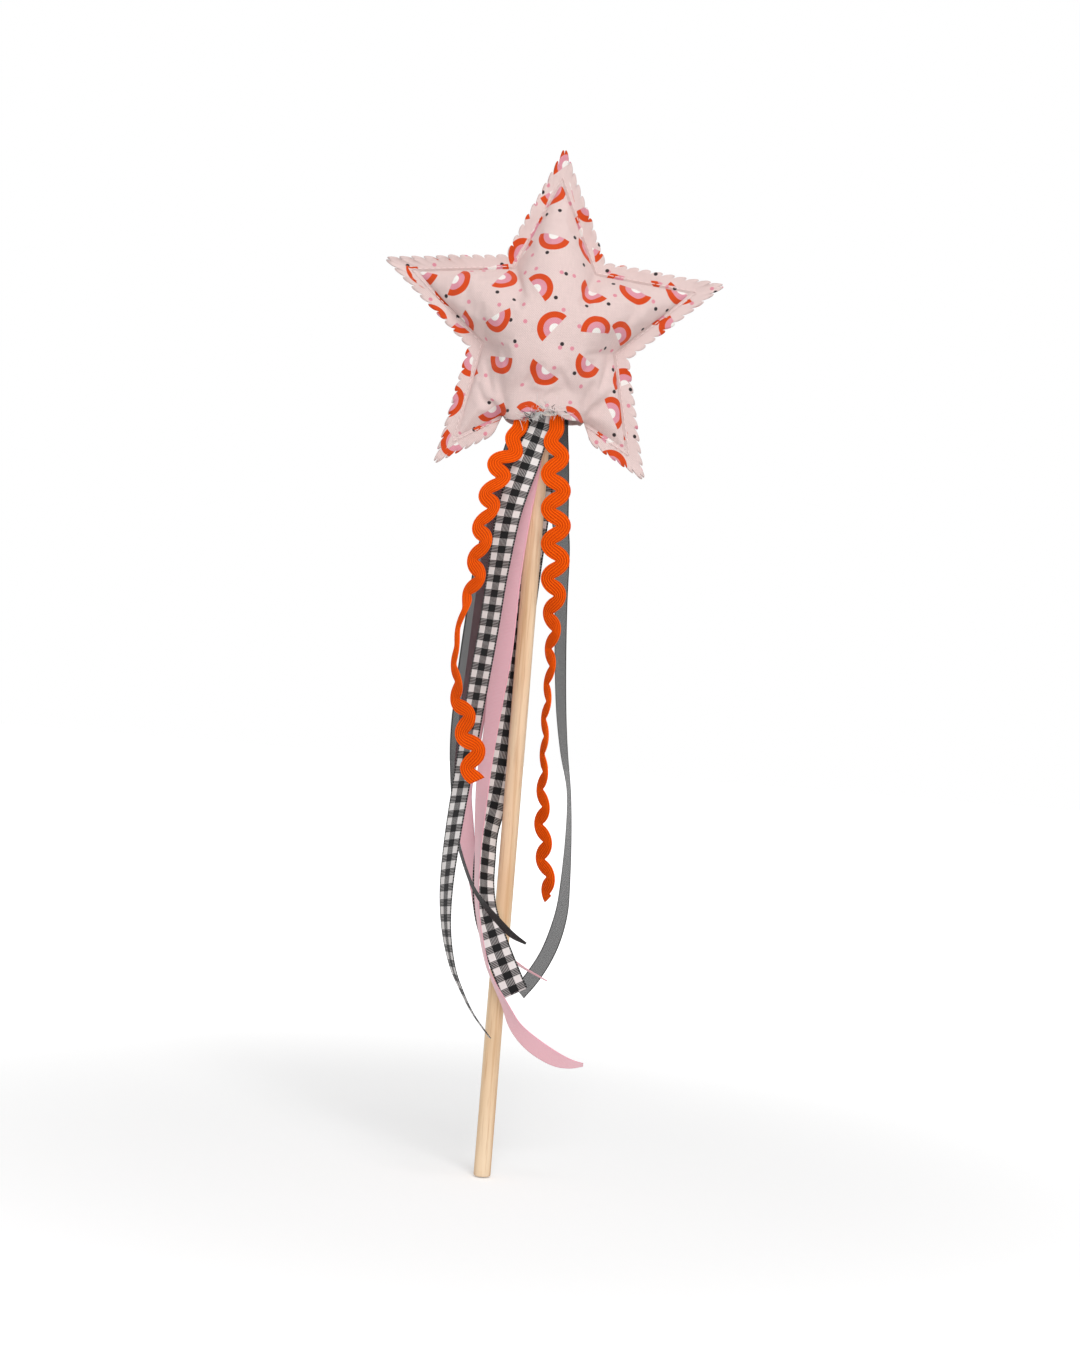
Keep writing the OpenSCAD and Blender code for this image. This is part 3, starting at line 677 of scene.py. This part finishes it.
def stuffed_star():
    """Flat cloth points, triangles, and the points of the front and the back panel after stuffing."""
    points, triangles = cloth_points()
    total = len(points)
    shared = [i for i in range(outline_count) if i not in mouth_inner]
    back_index = np.zeros(total, int)
    back_index[shared] = shared
    own = [i for i in range(total) if i not in set(shared)]
    back_index[own] = np.arange(total, total + len(own))
    target_front, target_back = star_targets()
    height = pillow(points)
    start_front = np.column_stack([points[:, 0], -0.25 * height, points[:, 1]])
    start_back = start_front * (1, -1, 1)
    verts = np.vstack([start_front, start_back[own]]) * STUFFING_SCALE
    faces = triangles + [[int(back_index[i]) for i in t[::-1]] for t in triangles]
    mesh = bpy.data.meshes.new("stuffing")
    mesh.from_pydata([tuple(v) for v in verts], [], faces)
    bag = put("stuffing", mesh)
    bag.shape_key_add(name="flat")
    sewn = bag.shape_key_add(name="sewn")
    held = bag.vertex_groups.new(name="held")
    for index in range(outline_count):
        sewn.data[index].co = target_front[index] * STUFFING_SCALE
        sewn.data[int(back_index[index])].co = target_back[index] * STUFFING_SCALE
        held.add([index, int(back_index[index])], 1.0, "REPLACE")
    sewn.value = 0.0
    sewn.keyframe_insert("value", frame=1)
    sewn.value = 1.0
    sewn.keyframe_insert("value", frame=SEWN_FRAME)
    cloth = bag.modifiers.new("cloth", "CLOTH")
    settings = cloth.settings
    settings.quality = 8
    settings.mass = 0.2
    settings.tension_stiffness = 20
    settings.compression_stiffness = 10
    settings.shear_stiffness = 8
    settings.bending_stiffness = 0.35
    settings.use_pressure = True
    settings.uniform_pressure_force = 6
    settings.vertex_group_mass = "held"
    settings.effector_weights.gravity = 0
    cloth.collision_settings.use_collision = False
    cloth.point_cache.frame_start = 1
    cloth.point_cache.frame_end = STUFFED_FRAME
    for step in range(1, STUFFED_FRAME + 1):
        scene.frame_set(step)
    puffed = bag.evaluated_get(bpy.context.evaluated_depsgraph_get()).data
    got = np.array([v.co for v in puffed.vertices]) / STUFFING_SCALE
    bpy.data.objects.remove(bag)
    scene.frame_set(1)
    return points, triangles, got[:total], got[back_index]


flat_points, star_triangles, star_front, star_back = stuffed_star()
for panel in (star_front, star_back):
    tallest = np.abs(panel[:, 1]).max()
    inner = np.ones(len(panel), bool)
    inner[:outline_count] = False
    panel[inner, 1] *= CROWN / tallest
    lumps = 0.45 * ripple(panel, 17.0, 2) + 0.25 * ripple(panel, 7.0, 5)
    seam_distance = inside_distance(flat_points, outline_flat)
    soft_seam = 0.72 + 0.28 * smooth(0, 7, seam_distance)
    side = np.sign(panel[inner, 1].sum())
    height = np.abs(panel[:, 1]) * soft_seam + lumps * smooth(0, 12, seam_distance)
    room = mouth_depth(panel[:, 0]) * (1 - smooth(-17, -4, panel[:, 2])) + 0.6
    room[np.abs(panel[:, 0]) > MOUTH_X - 1] = 0
    height = np.maximum(height, room)
    panel[inner, 1] = side * height[inner]
    panel[:, 2] += STAR_Z


# Raw edge outside the seam: a flat flange with a scalloped, slightly wavy rim
def flange(side):
    """Points, faces and cloth places of one panel's flange. side is -1 in front and 1 behind."""
    rows, scallop_steps = 6, 8
    bite_depth = 1.35 * SCALLOP_DEPTH / SEAM_INSET
    inside_seam, half_gap = 0.08, 0.14
    places, flats = [], []
    for index in list(range(6, 11)) + list(range(5)):
        a, b = corner_final[index], corner_final[(index + 1) % corner_count]
        fa, fb = corner_flat[index], corner_flat[(index + 1) % corner_count]
        count = round(np.linalg.norm(b - a) / SEAM_SHARE / SCALLOP_W) * scallop_steps
        steps = range(count) if index != 4 else range(count + 1)
        for k in steps:
            places.append(a + (b - a) * k / count)
            flats.append((fa + (fb - fa) * k / count, (k % scallop_steps) / scallop_steps))
    grown = 1 / SEAM_SHARE - 1
    points, cloth = [], []
    for row in range(rows):
        share = row / (rows - 1)
        for place, (flat, phase) in zip(places, flats):
            bite = bite_depth * (1 - math.sqrt(1 - 0.98 * (2 * phase - 1) ** 2)) * share**2
            out = -inside_seam + (share - bite) * (1 + inside_seam)
            x, z = place * (1 + grown * out)
            points.append((x, side * half_gap, z))
            cloth.append((*(flat + place * grown * out), 0))
    points = np.array(points)
    share = np.repeat(np.linspace(0, 1, rows), len(places))
    level = points * (1, 0, 1)
    sway = 1.5 * ripple(level, 14.0, 9) + 0.35 * ripple(level, 5.5, 4)
    spread = 0.2 + 0.12 * ripple(level, 11.0, 12 + side)
    points[:, 1] += share**1.4 * sway + side * share * spread
    points[:, 2] += STAR_Z
    faces = grid_faces(rows, len(places))
    return points, faces if side < 0 else [f[::-1] for f in faces], cloth


def star_panel(name, node, body_points, side, material):
    faces = star_triangles if side < 0 else [t[::-1] for t in star_triangles]
    cloth = np.column_stack([flat_points, np.zeros(len(flat_points))])
    body = new_piece(name, body_points, faces, [material], {"flat": cloth})
    thicken(body, CLOTH_THICK, -1)
    subdivide(body, "CATMULL_CLARK", 1)
    settle(body)
    points, rim_faces, rim_cloth = flange(side)
    rim = new_piece(name + "_edge", points, rim_faces, [material], {"flat": rim_cloth})
    thicken(rim, FLANGE_THICK, 1)
    settle(rim)
    panel = joined(body, rim)
    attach(panel, "wand")
    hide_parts(node)
    return panel


front_cotton = printed_cotton("cotton_front", (5, 3, 0))
back_cotton = printed_cotton("cotton_back", (47, 29, 0))
front_panel = star_panel("front_panel", "star_front_panel", star_front, -1, front_cotton)
back_panel = star_panel("back_panel", "star_back_panel", star_back, 1, back_cotton)


# Stitches: a row of short threads just outside the seam, front and back
def stitch_row(name, node, side):
    sides, rings = 6, 7
    outside_seam, stand_off = 0.13, 0.66
    points, faces, strip = [], [], []
    grown = 1 + (1 / SEAM_SHARE - 1) * outside_seam
    run = [corner_final[i] for i in list(range(6, 11)) + list(range(6))]
    for a, b in zip(run[:-1], run[1:]):
        a, b = a * grown, b * grown
        length = np.linalg.norm(b - a)
        count = max(1, int(length / STITCH))
        along = (b - a) / length
        for k in range(count):
            start = len(points)
            middle = a + along * length * (k + 0.5) / count
            half = 0.42 * length / count
            for ring in range(rings):
                t = 2 * ring / (rings - 1) - 1
                radius = STITCH_R * math.sqrt(max(1 - t**4, 0.02))
                x, z = middle + along * half * t
                dip = 0.25 * t * t
                for corner in range(sides):
                    turn = math.tau * corner / sides
                    flat = radius * math.cos(turn)
                    depth = side * (stand_off - dip + radius * math.sin(turn))
                    points.append((x - along[1] * flat, depth, z + along[0] * flat + STAR_Z))
                    strip.append((flat, half * t, 0))
            faces += ring_faces(start, rings, sides)
            faces.append([start + c for c in range(sides)][::-1])
            faces.append([start + (rings - 1) * sides + c for c in range(sides)])
    row = new_piece(name, points, faces, [thread_material], {"strip": strip})
    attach(row, "wand")
    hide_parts(node)


thread_material = thread()
stitch_row("front_stitches", "needle_thread", -1)
stitch_row("back_stitches", "bobbin_thread", 1)


# Fibrefill: each packed tuft made lumpy and kept inside the panels
def panel_tree(panel):
    mesh = panel.data
    return BVHTree.FromPolygons([v.co for v in mesh.vertices], [p.vertices for p in mesh.polygons])


front_tree, back_tree = panel_tree(front_panel), panel_tree(back_panel)
filling_material = fibrefill()


def stuffing(name, node):
    shrink, clearance = 0.93, 1.2
    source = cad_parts[node].data
    lump = put(name, source.copy())
    subdivide(lump, "SIMPLE", 2)
    settle(lump)
    points = np.array([v.co for v in lump.data.vertices]) / MM
    centre = points.mean(0)
    points = centre + (points - centre) * shrink
    points += unit(points - centre) * (0.5 * ripple(points, 5.0, 3) - 0.3)[:, None]
    for index, p in enumerate(points):
        above = Vector((p[0] * MM, -0.1, p[2] * MM))
        front_hit = front_tree.ray_cast(above, Vector((0, 1, 0)))[0]
        back_hit = back_tree.ray_cast(above + Vector((0, 0.2, 0)), Vector((0, -1, 0)))[0]
        if front_hit and back_hit:
            room = (front_hit[1] / MM + clearance, back_hit[1] / MM - clearance)
            points[index, 1] = np.clip(p[1], min(room[0], 0), max(room[1], 0))
    lump.data.vertices.foreach_set("co", (points * MM).ravel())
    lump.data.polygons.foreach_set("use_smooth", [True] * len(lump.data.polygons))
    lump.data.materials.clear()
    lump.data.materials.append(filling_material)
    lump.data.update()
    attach(lump, "wand")
    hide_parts(node)


for spot in ("core", "top", "upper_left", "lower_left", "lower_right", "upper_right"):
    stuffing(f"stuffing_{spot}", f"filling_{spot}")


# Mouth: glue, and fluff that frays out of the lip
def tubes(name, paths, radii, material, sides):
    """Fine strands along the paths, thinner towards their ends."""
    points, faces = [], []
    for path, radius in zip(paths, radii):
        path = np.asarray(path, float)
        start = len(points)
        count = len(path)
        ways = unit(np.gradient(path, axis=0))
        first = unit(np.cross(ways, (0.31, 0.9, 0.3)))
        second = np.cross(ways, first)
        for k in range(count):
            thin = radius * (1 - 0.75 * (k / (count - 1)) ** 3)
            for corner in range(sides):
                turn = math.tau * corner / sides
                points.append(path[k] + thin * (math.cos(turn) * first[k] + math.sin(turn) * second[k]))
        faces += ring_faces(start, count, sides, inward=True)
        faces.append([start + c for c in range(sides)])
        faces.append([start + (count - 1) * sides + c for c in range(sides)][::-1])
    return new_piece(name, points, faces, [material])


def lip_point(x, inwards, upwards):
    """A place at the front lip."""
    return np.array([x, inwards - float(mouth_depth(x)), STAR_Z + float(lip_height(x)) + upwards])


def strand(base, lean, curl, reach):
    """A short curling path."""
    steps = np.linspace(0, 1, 7)[:, None]
    return base + reach * (steps * lean + steps**2 * curl)


def lip_fluff():
    """Short white strands that curl out over the front lip, most of them above the gingham."""
    rng = np.random.default_rng(11)
    paths, radii = [], []
    for number in range(420):
        x = rng.normal(0.5, 4.6) if number % 3 == 0 else rng.normal(-0.6, 2.2)
        x = float(np.clip(x, -12, 12))
        base = lip_point(x, rng.uniform(-0.3, 1.2), rng.uniform(-0.4, 1.0))
        lean = np.array([rng.normal(0, 0.7), rng.uniform(-0.55, 0.1), rng.uniform(-0.6, 0.9)])
        curl = np.array([rng.normal(0, 0.8), rng.uniform(-0.3, 0.2), rng.normal(0, 0.8)])
        paths.append(strand(base, lean, 0.6 * curl, rng.uniform(1.2, 3.4)))
        radii.append(rng.uniform(0.06, 0.13))
    fluff = tubes("lip_fluff", paths, radii, filling_material, 3)
    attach(fluff, "wand")


def frayed_yarn():
    """Dark yarn ends of the gingham's cut edge, caught in the fluff at its two corners."""
    rng = np.random.default_rng(4)
    paths = []
    for number in range(22):
        x = rng.normal(-4.8, 0.9) if number % 2 else rng.normal(2.2, 1.3)
        base = lip_point(x, -0.4, rng.uniform(-0.6, 1.2))
        lean = np.array([rng.normal(0, 0.9), rng.uniform(-0.35, -0.05), rng.normal(0.2, 0.7)])
        curl = np.array([rng.normal(0, 1.0), 0.0, rng.normal(0, 1.0)])
        paths.append(strand(base, lean, 0.5 * curl, rng.uniform(0.8, 2.0)))
    yarn = tubes("frayed_yarn", paths, [0.11] * len(paths), dark_yarn(), 4)
    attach(yarn, "wand")


glue_material = hot_glue()


def glue_bead():
    """A bead of glue that stands out of the mouth between the ribbons."""
    rings, sides = 14, 24
    half_size, centre = (3.4, 1.5, 2.6), (2.1, -8.3, 287.2)
    points = []
    for ring in range(rings + 1):
        fall = math.pi * ring / rings
        for corner in range(sides):
            turn = math.tau * corner / sides
            round_x, round_y = math.sin(fall) * math.cos(turn), math.sin(fall) * math.sin(turn)
            points.append((round_x, round_y, math.cos(fall)))
    points = np.array(points)
    lumpy = 1 + 0.22 * ripple(points, 0.9, 6)
    points = points * lumpy[:, None] * half_size + centre
    faces = ring_faces(0, rings + 1, sides, inward=True)
    bead = new_piece("glue_bead", points, faces, [glue_material])
    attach(bead, "wand")


glue_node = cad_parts["mouth_glue"]
glue_node.data.materials.clear()
glue_node.data.materials.append(glue_material)
lip_fluff()
frayed_yarn()
glue_bead()


# Ribbons: a smooth curve through the route's rows, from the glued root to the free end
def route_samples(rows, count):
    """A ribbon at evenly spaced steps: its centre, direction, across, normal, width share and run."""
    x, y, _, turn, share = rows[0]
    root = [[x, y, HINGE_Z - ROOT_TOP, turn, share], [x, y, (HINGE_Z - ROOT_TOP) / 2, turn, share]]
    rows = np.array(root + rows, float)
    padded_rows = np.vstack([2 * rows[0] - rows[1], rows, 2 * rows[-1] - rows[-2]])
    dense = []
    for i in range(len(rows) - 1):
        a, b, c, d = padded_rows[i:i + 4]
        for t in np.linspace(0, 1, 40, endpoint=False):
            bend = (2 * a - 5 * b + 4 * c - d) * t**2 + (3 * b - a - 3 * c + d) * t**3
            dense.append(0.5 * (2 * b + (c - a) * t + bend))
    dense = np.array(dense + [rows[-1]])
    place = np.column_stack([dense[:, 0], dense[:, 1], HINGE_Z - dense[:, 2]])
    run = np.concatenate([[0], np.cumsum(np.linalg.norm(np.diff(place, axis=0), axis=1))])
    even = np.linspace(0, run[-1], count)
    place = np.column_stack([np.interp(even, run, place[:, k]) for k in range(3)])
    turn = np.radians(np.interp(even, run, dense[:, 3]))
    share = np.interp(even, run, dense[:, 4])
    way = unit(np.gradient(place, axis=0))
    flat = unit(np.cross(way, (0.0, 1.0, 0.0)))
    across = flat * np.cos(turn)[:, None] + np.cross(way, flat) * np.sin(turn)[:, None]
    return place, way, across, np.cross(across, way), share, even


def band(name, grids, thick, materials, strip, column_material):
    """A closed thin band from a grid of middle points, their normals and the thickness at each."""
    middle, normal = grids
    rows, columns = middle.shape[:2]
    upper = middle + normal * thick[..., None] / 2
    lower = middle - normal * thick[..., None] / 2
    points = np.vstack([upper.reshape(-1, 3), lower.reshape(-1, 3)])
    top = grid_faces(rows, columns)
    shift = rows * columns
    faces = top + [tuple(i + shift for i in f[::-1]) for f in top]
    used = [column_material[c] for _ in range(rows - 1) for c in range(columns - 1)] * 2
    for r in range(rows - 1):
        a, b = r * columns, (r + 1) * columns
        faces.append((a, b, b + shift, a + shift))
        end = columns - 1
        faces.append((a + end, a + end + shift, b + end + shift, b + end))
        used += [column_material[0], column_material[-1]]
    for c in range(columns - 1):
        faces.append((c, c + shift, c + 1 + shift, c + 1))
        last = (rows - 1) * columns + c
        faces.append((last, last + 1, last + 1 + shift, last + shift))
        used += [column_material[c]] * 2
    piece = new_piece(name, points, faces, materials, {"strip": np.vstack([strip, strip])})
    piece.data.polygons.foreach_set("material_index", used)
    return piece


def hang(piece, tail, root):
    """Bakes a ribbon's placement into its mesh and hides the solids of its tail and root."""
    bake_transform(piece)
    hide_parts(tail, root)


def ribbon(tail, root, rows, materials, seed, thick=RIBBON_THICK):
    """A flat ribbon: slightly cupped, with edge columns of their own."""
    count = 190
    place, _, across, normal, share, run = route_samples(rows, count)
    edge = 0.5 - SELVEDGE_W / RIBBON_W
    spread = np.concatenate([[-0.5, -edge], np.linspace(-0.36, 0.36, 7), [edge, 0.5]])
    columns = len(spread)
    cup = 0.16 * ripple(place, 30.0, seed)
    middle = place[:, None] + across[:, None] * (spread[None, :, None] * RIBBON_W * share[:, None, None])
    middle = middle + normal[:, None] * (cup[:, None] * (4 * spread**2 - 0.4))[..., None]
    thickness = np.full((count, columns), thick)
    strip = np.zeros((count, columns, 3))
    strip[..., 0] = spread * RIBBON_W
    strip[..., 1] = run[:, None]
    strip[..., 2] = share[:, None]
    normals = np.repeat(normal[:, None], columns, 1)
    last = len(materials) - 1
    column_material = [last] + [0] * (columns - 3) + [last]
    strip = strip.reshape(-1, 3)
    piece = band(tail + "_ribbon", (middle, normals), thickness, materials, strip, column_material)
    hang(piece, tail, root)


def rickrack_trim(tail, root, rows, material, seed):
    """A braided zigzag: the band swings from side to side, its bumps rounder than its notches."""
    count = 420
    place, way, across, normal, share, run = route_samples(rows, count)
    spread = np.linspace(-1, 1, 37)
    swing = np.maximum(RICKRACK_W * share - RICKRACK_BAND, 0) / 2
    half = np.minimum(RICKRACK_BAND, RICKRACK_W * share) / 2
    phase = math.tau * run / RICKRACK_WAVE
    offset = swing * np.sin(phase)
    slope = swing * np.cos(phase) * math.tau / RICKRACK_WAVE
    lean = 0.42
    side = offset[:, None] + spread[None] * half[:, None]
    ahead = -lean * spread[None] * (half * slope)[:, None]
    middle = place[:, None] + across[:, None] * side[..., None] + way[:, None] * ahead[..., None]
    curl = 0.2 * ripple(place, 24.0, seed)
    middle = middle + normal[:, None] * (curl[:, None] * spread**2)[..., None]
    ridge = 0.87 + 0.13 * np.sin(spread * math.pi * RICKRACK_RIDGES)
    thickness = RICKRACK_THICK * np.sqrt(1 - 0.82 * spread**4) * ridge
    thickness = np.repeat(thickness[None], count, 0)
    strip = np.zeros((count, len(spread), 3))
    strip[..., 0] = spread * RICKRACK_BAND / 2
    strip[..., 1] = run[:, None]
    normals = np.repeat(normal[:, None], len(spread), 1)
    strip = strip.reshape(-1, 3)
    one_material = [0] * (len(spread) - 1)
    piece = band(tail + "_trim", (middle, normals), thickness, [material], strip, one_material)
    hang(piece, tail, root)


gingham_material = gingham()
pink_material = pink_ribbon()
sheer_materials = [sheer_ribbon(), sheer_edge()]
rickrack_material = rickrack()
ribbon("gingham_tail_front", "gingham_roots", GINGHAM_FRONT, [gingham_material], 1)
ribbon("gingham_tail_rear", "gingham_roots", GINGHAM_REAR, [gingham_material], 2)
ribbon("pink_tail_front", "pink_roots", PINK_FRONT, [pink_material], 3)
ribbon("pink_tail_rear", "pink_roots", PINK_REAR, [pink_material], 4)
ribbon("sheer_tail_left", "sheer_roots", SHEER_LEFT, sheer_materials, 5, SHEER_THICK)
ribbon("sheer_tail_right", "sheer_roots", SHEER_RIGHT, sheer_materials, 6, SHEER_THICK)
rickrack_trim("rickrack_tail_left", "rickrack_roots", RICKRACK_LEFT, rickrack_material, 7)
rickrack_trim("rickrack_tail_right", "rickrack_roots", RICKRACK_RIGHT, rickrack_material, 8)


# Dowel: turned stick with eased edges and a whittled point inside the star
def dowel_stick():
    sides, rings = 72, 70
    ease, half_ease = 0.4, 0.12
    heights = [0.0, 0.0, half_ease, ease]
    radii = [0.0, DOWEL_R - ease, DOWEL_R - half_ease, DOWEL_R]
    heights += list(np.linspace(4, LIP_Z, rings)) + [DOWEL_LENGTH - ease, DOWEL_LENGTH, DOWEL_LENGTH]
    radii += [DOWEL_R] * rings + [DOWEL_TIP_R + 0.03, DOWEL_TIP_R - 0.3, 0.0]
    turn = np.linspace(0, math.tau, sides, endpoint=False)
    points = np.array([(r * math.cos(t), r * math.sin(t), z) for z, r in zip(heights, radii) for t in turn])
    uneven = 0.03 * ripple(points * (1, 1, 0.08), 2.4, 3)
    points[:, :2] *= (1 + uneven / DOWEL_R)[:, None]
    faces = ring_faces(0, len(heights), sides)
    stick = new_piece("dowel_stick", points, faces, [birch()])
    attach(stick, "wand")
    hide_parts("dowel")


dowel_stick()


# Stage: pale floor, white surroundings, soft light from above the camera, and the camera
def camera_sees(tree):
    """1 for what the camera, a reflection or glass sees directly."""
    path = tree.nodes.new("ShaderNodeLightPath")
    seen = path.outputs["Is Camera Ray"]
    for ray in ("Is Glossy Ray", "Is Transmission Ray"):
        most = tree.nodes.new("ShaderNodeMath")
        most.operation = "MAXIMUM"
        tree.links.new(seen, most.inputs[0])
        tree.links.new(path.outputs[ray], most.inputs[1])
        seen = most.outputs[0]
    return seen


def floor():
    shader = Shader("pale_floor")
    shader.set(Base_Color=(0.86, 0.86, 0.86, 1), Roughness=0.9, Specular_IOR_Level=0.1)
    x, y = shader.parts(shader.place(None, (1, 1, 1)))[:2]
    brighter_far_off = shader.ease(shader.reach(x, y), 0.1, 0.7, 0.22, 0.75)
    glow = shader.times(camera_sees(shader.material.node_tree), brighter_far_off)
    shader.set(Emission_Color=(1, 1, 1, 1), Emission_Strength=glow)
    half, level = 4.0, -0.0005
    corners = [(-half, -half, level), (half, -half, level), (half, half, level), (-half, half, level)]
    mesh = bpy.data.meshes.new("floor")
    mesh.from_pydata(corners, [], [(0, 1, 2, 3)])
    mesh.materials.append(shader.material)
    ground = put("floor", mesh)


def surroundings():
    world = bpy.data.worlds.new("studio")
    world.use_nodes = True
    tree = world.node_tree
    background = tree.nodes["Background"]
    background.inputs["Color"].default_value = (1, 1, 1, 1)
    strength = tree.nodes.new("ShaderNodeMapRange")
    strength.inputs["To Min"].default_value = 0.52
    strength.inputs["To Max"].default_value = 1.0
    tree.links.new(camera_sees(tree), strength.inputs["Value"])
    tree.links.new(strength.outputs[0], background.inputs["Strength"])
    scene.world = world


def lamp(name, place, aim, size, power):
    light = bpy.data.lights.new(name, "AREA")
    light.size = size
    light.energy = power
    obj = put(name, light)
    obj.location = place
    obj.rotation_euler = (Vector(aim) - Vector(place)).to_track_quat("-Z", "Y").to_euler()


def photo_camera():
    """The photograph's view: square on to the star, the wand leaning 4.6 degrees in the frame."""
    sensor, distance, frame_height = 36.0, 900.0, 506.0
    lean_cos, lean_sin = 0.9967, 0.0806
    data = bpy.data.cameras.new("photo_view")
    data.sensor_fit = "VERTICAL"
    data.sensor_height = sensor
    data.lens = sensor * distance / frame_height
    camera = put("photo_view", data)
    right = Vector((lean_cos, 0, lean_sin))
    up = Vector((-lean_sin, 0, lean_cos))
    back = Vector((0, -1, 0))
    turn = Matrix((right, up, back)).transposed().to_4x4()
    camera.matrix_world = Matrix.Translation(Vector((6.6, -distance, 188.7)) * MM) @ turn
    scene.camera = camera


floor()
surroundings()
lamp("key", (0.22, -1.15, 1.5), (0, 0, 0.22), 0.8, 14.0)
lamp("fill", (0.25, -1.5, 0.2), (0, 0, 0.2), 0.7, 4.8)
photo_camera()
